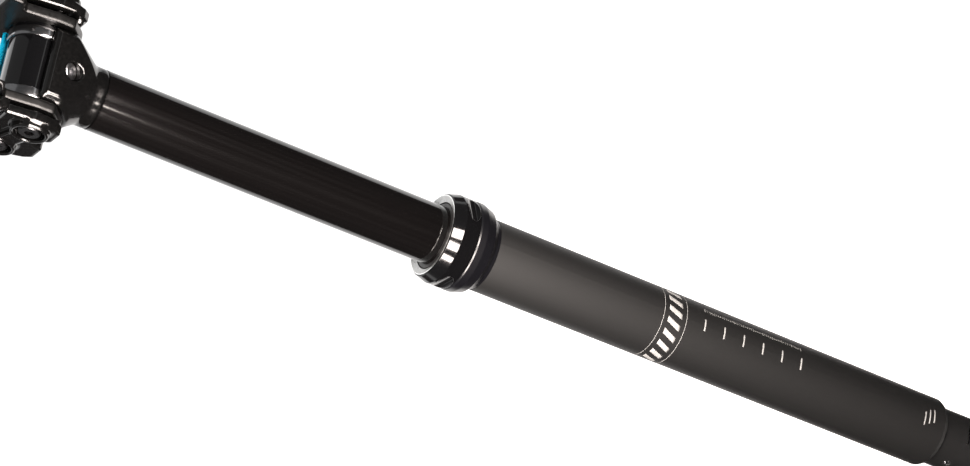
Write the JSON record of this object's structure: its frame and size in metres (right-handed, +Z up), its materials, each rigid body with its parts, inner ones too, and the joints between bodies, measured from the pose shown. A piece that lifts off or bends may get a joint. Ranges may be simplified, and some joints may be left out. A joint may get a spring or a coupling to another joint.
{
  "type": "dropper seatpost",
  "caption": "Telescopic bicycle seatpost with a sliding stanchion on a gas cartridge, a threaded seal collar, a foot lever for its cable and a tilting side-clamp for saddle rails.",
  "frame": {"origin": "on the post's axis, where the outer tube's full diameter starts above its lower chamfer", "axes": "+Z up the post towards the saddle clamp, +X to the front of the clamp, +Y to its left side"},
  "size_m": [0.04, 0.06, 0.5018],
  "materials": {
    "matte_black_alloy": "fine bead-blasted black anodising, matte charcoal sheen",
    "gloss_black_alloy": "polished black anodising with fine lengthwise draw marks",
    "forged_black_alloy": "satin black anodised forging",
    "black_steel": "black oxide",
    "bright_steel": "ground and polished",
    "plain_alloy": "turned, clear anodised",
    "key_brass": "machined",
    "bushing_polymer": "moulded bearing polymer",
    "seal_rubber": "smooth moulded rubber",
    "pale_print": "thin pale grey screen print on the outer tube and collar",
    "blue_inlay": "plain bright blue, gloss"
  },
  "bodies": {
    "post_body": {"outer_tube": "matte_black_alloy", "collar": "gloss_black_alloy", "wiper_seal": "seal_rubber", "upper_bushing": "bushing_polymer", "foot_housing": "matte_black_alloy", "foot_grub_screw": "bright_steel", "bottom_bumper": "seal_rubber", "piston_rod": "bright_steel", "rod_locknut": "bright_steel", "piston": "plain_alloy", "piston_seal": "seal_rubber", "lever_pivot_pin": "bright_steel"},
    "upper_body": {"stanchion_tube": "gloss_black_alloy", "head_forging": "forged_black_alloy", "lower_bushing": "bushing_polymer", "guide_keys": "key_brass", "gas_cylinder": "plain_alloy", "cylinder_gland": "plain_alloy", "rod_seal": "seal_rubber", "cylinder_clip": "bright_steel", "top_out_bumper": "seal_rubber", "cylinder_cap": "plain_alloy", "fill_valve": "key_brass", "tilt_screws": "black_steel", "tilt_nut": "bright_steel"},
    "floater_body": {"floating_piston": "plain_alloy", "floating_seal": "seal_rubber"},
    "valve_body": {"release_pin": "bright_steel", "valve_poppet": "key_brass"},
    "lever_body": {"actuator_lever": "plain_alloy", "cable_anchor": "key_brass"},
    "clamp_body": {"tilt_drum": "gloss_black_alloy", "drum_inlay": "blue_inlay", "left_cradle": "forged_black_alloy", "right_cradle": "forged_black_alloy"},
    "left_jaw_body": {"left_jaw": "forged_black_alloy", "left_clamp_bolts": "black_steel"},
    "right_jaw_body": {"right_jaw": "forged_black_alloy", "right_clamp_bolts": "black_steel"}
  },
  "joints": [
    {"name": "drop", "type": "slide", "parent": "post_body", "child": "upper_body", "axis": [0, 0, 1], "range_m": [-0.15, 0], "stiffness_N_per_m": 60, "springref_m": 0.4},
    {"name": "floating_piston_slide", "type": "slide", "parent": "upper_body", "child": "floater_body", "axis": [0, 0, 1], "range_m": [0, 0.041]},
    {"name": "lever_press", "type": "hinge", "parent": "post_body", "child": "lever_body", "pos_m": [0.0045, 0, -0.0217], "axis": [0, 1, 0], "range_deg": [0, 19.5]},
    {"name": "valve_lift", "type": "slide", "parent": "post_body", "child": "valve_body", "axis": [0, 0, 1], "range_m": [0, 0.0015], "stiffness_N_per_m": 300},
    {"name": "saddle_tilt", "type": "hinge", "parent": "upper_body", "child": "clamp_body", "pos_m": [0, 0, 0.4353], "axis": [0, 1, 0], "range_deg": [-12, 12]},
    {"name": "left_jaw_open", "type": "slide", "parent": "clamp_body", "child": "left_jaw_body", "axis": [0, 1, 0], "range_m": [0, 0.004]},
    {"name": "right_jaw_open", "type": "slide", "parent": "clamp_body", "child": "right_jaw_body", "axis": [0, -1, 0], "range_m": [0, 0.004]}
  ],
  "couplings": [
    {"joint": "floating_piston_slide", "follows": "drop", "ratio": -0.26846},
    {"joint": "lever_press", "follows": "valve_lift", "rad_per_m": 222.22}
  ]
}
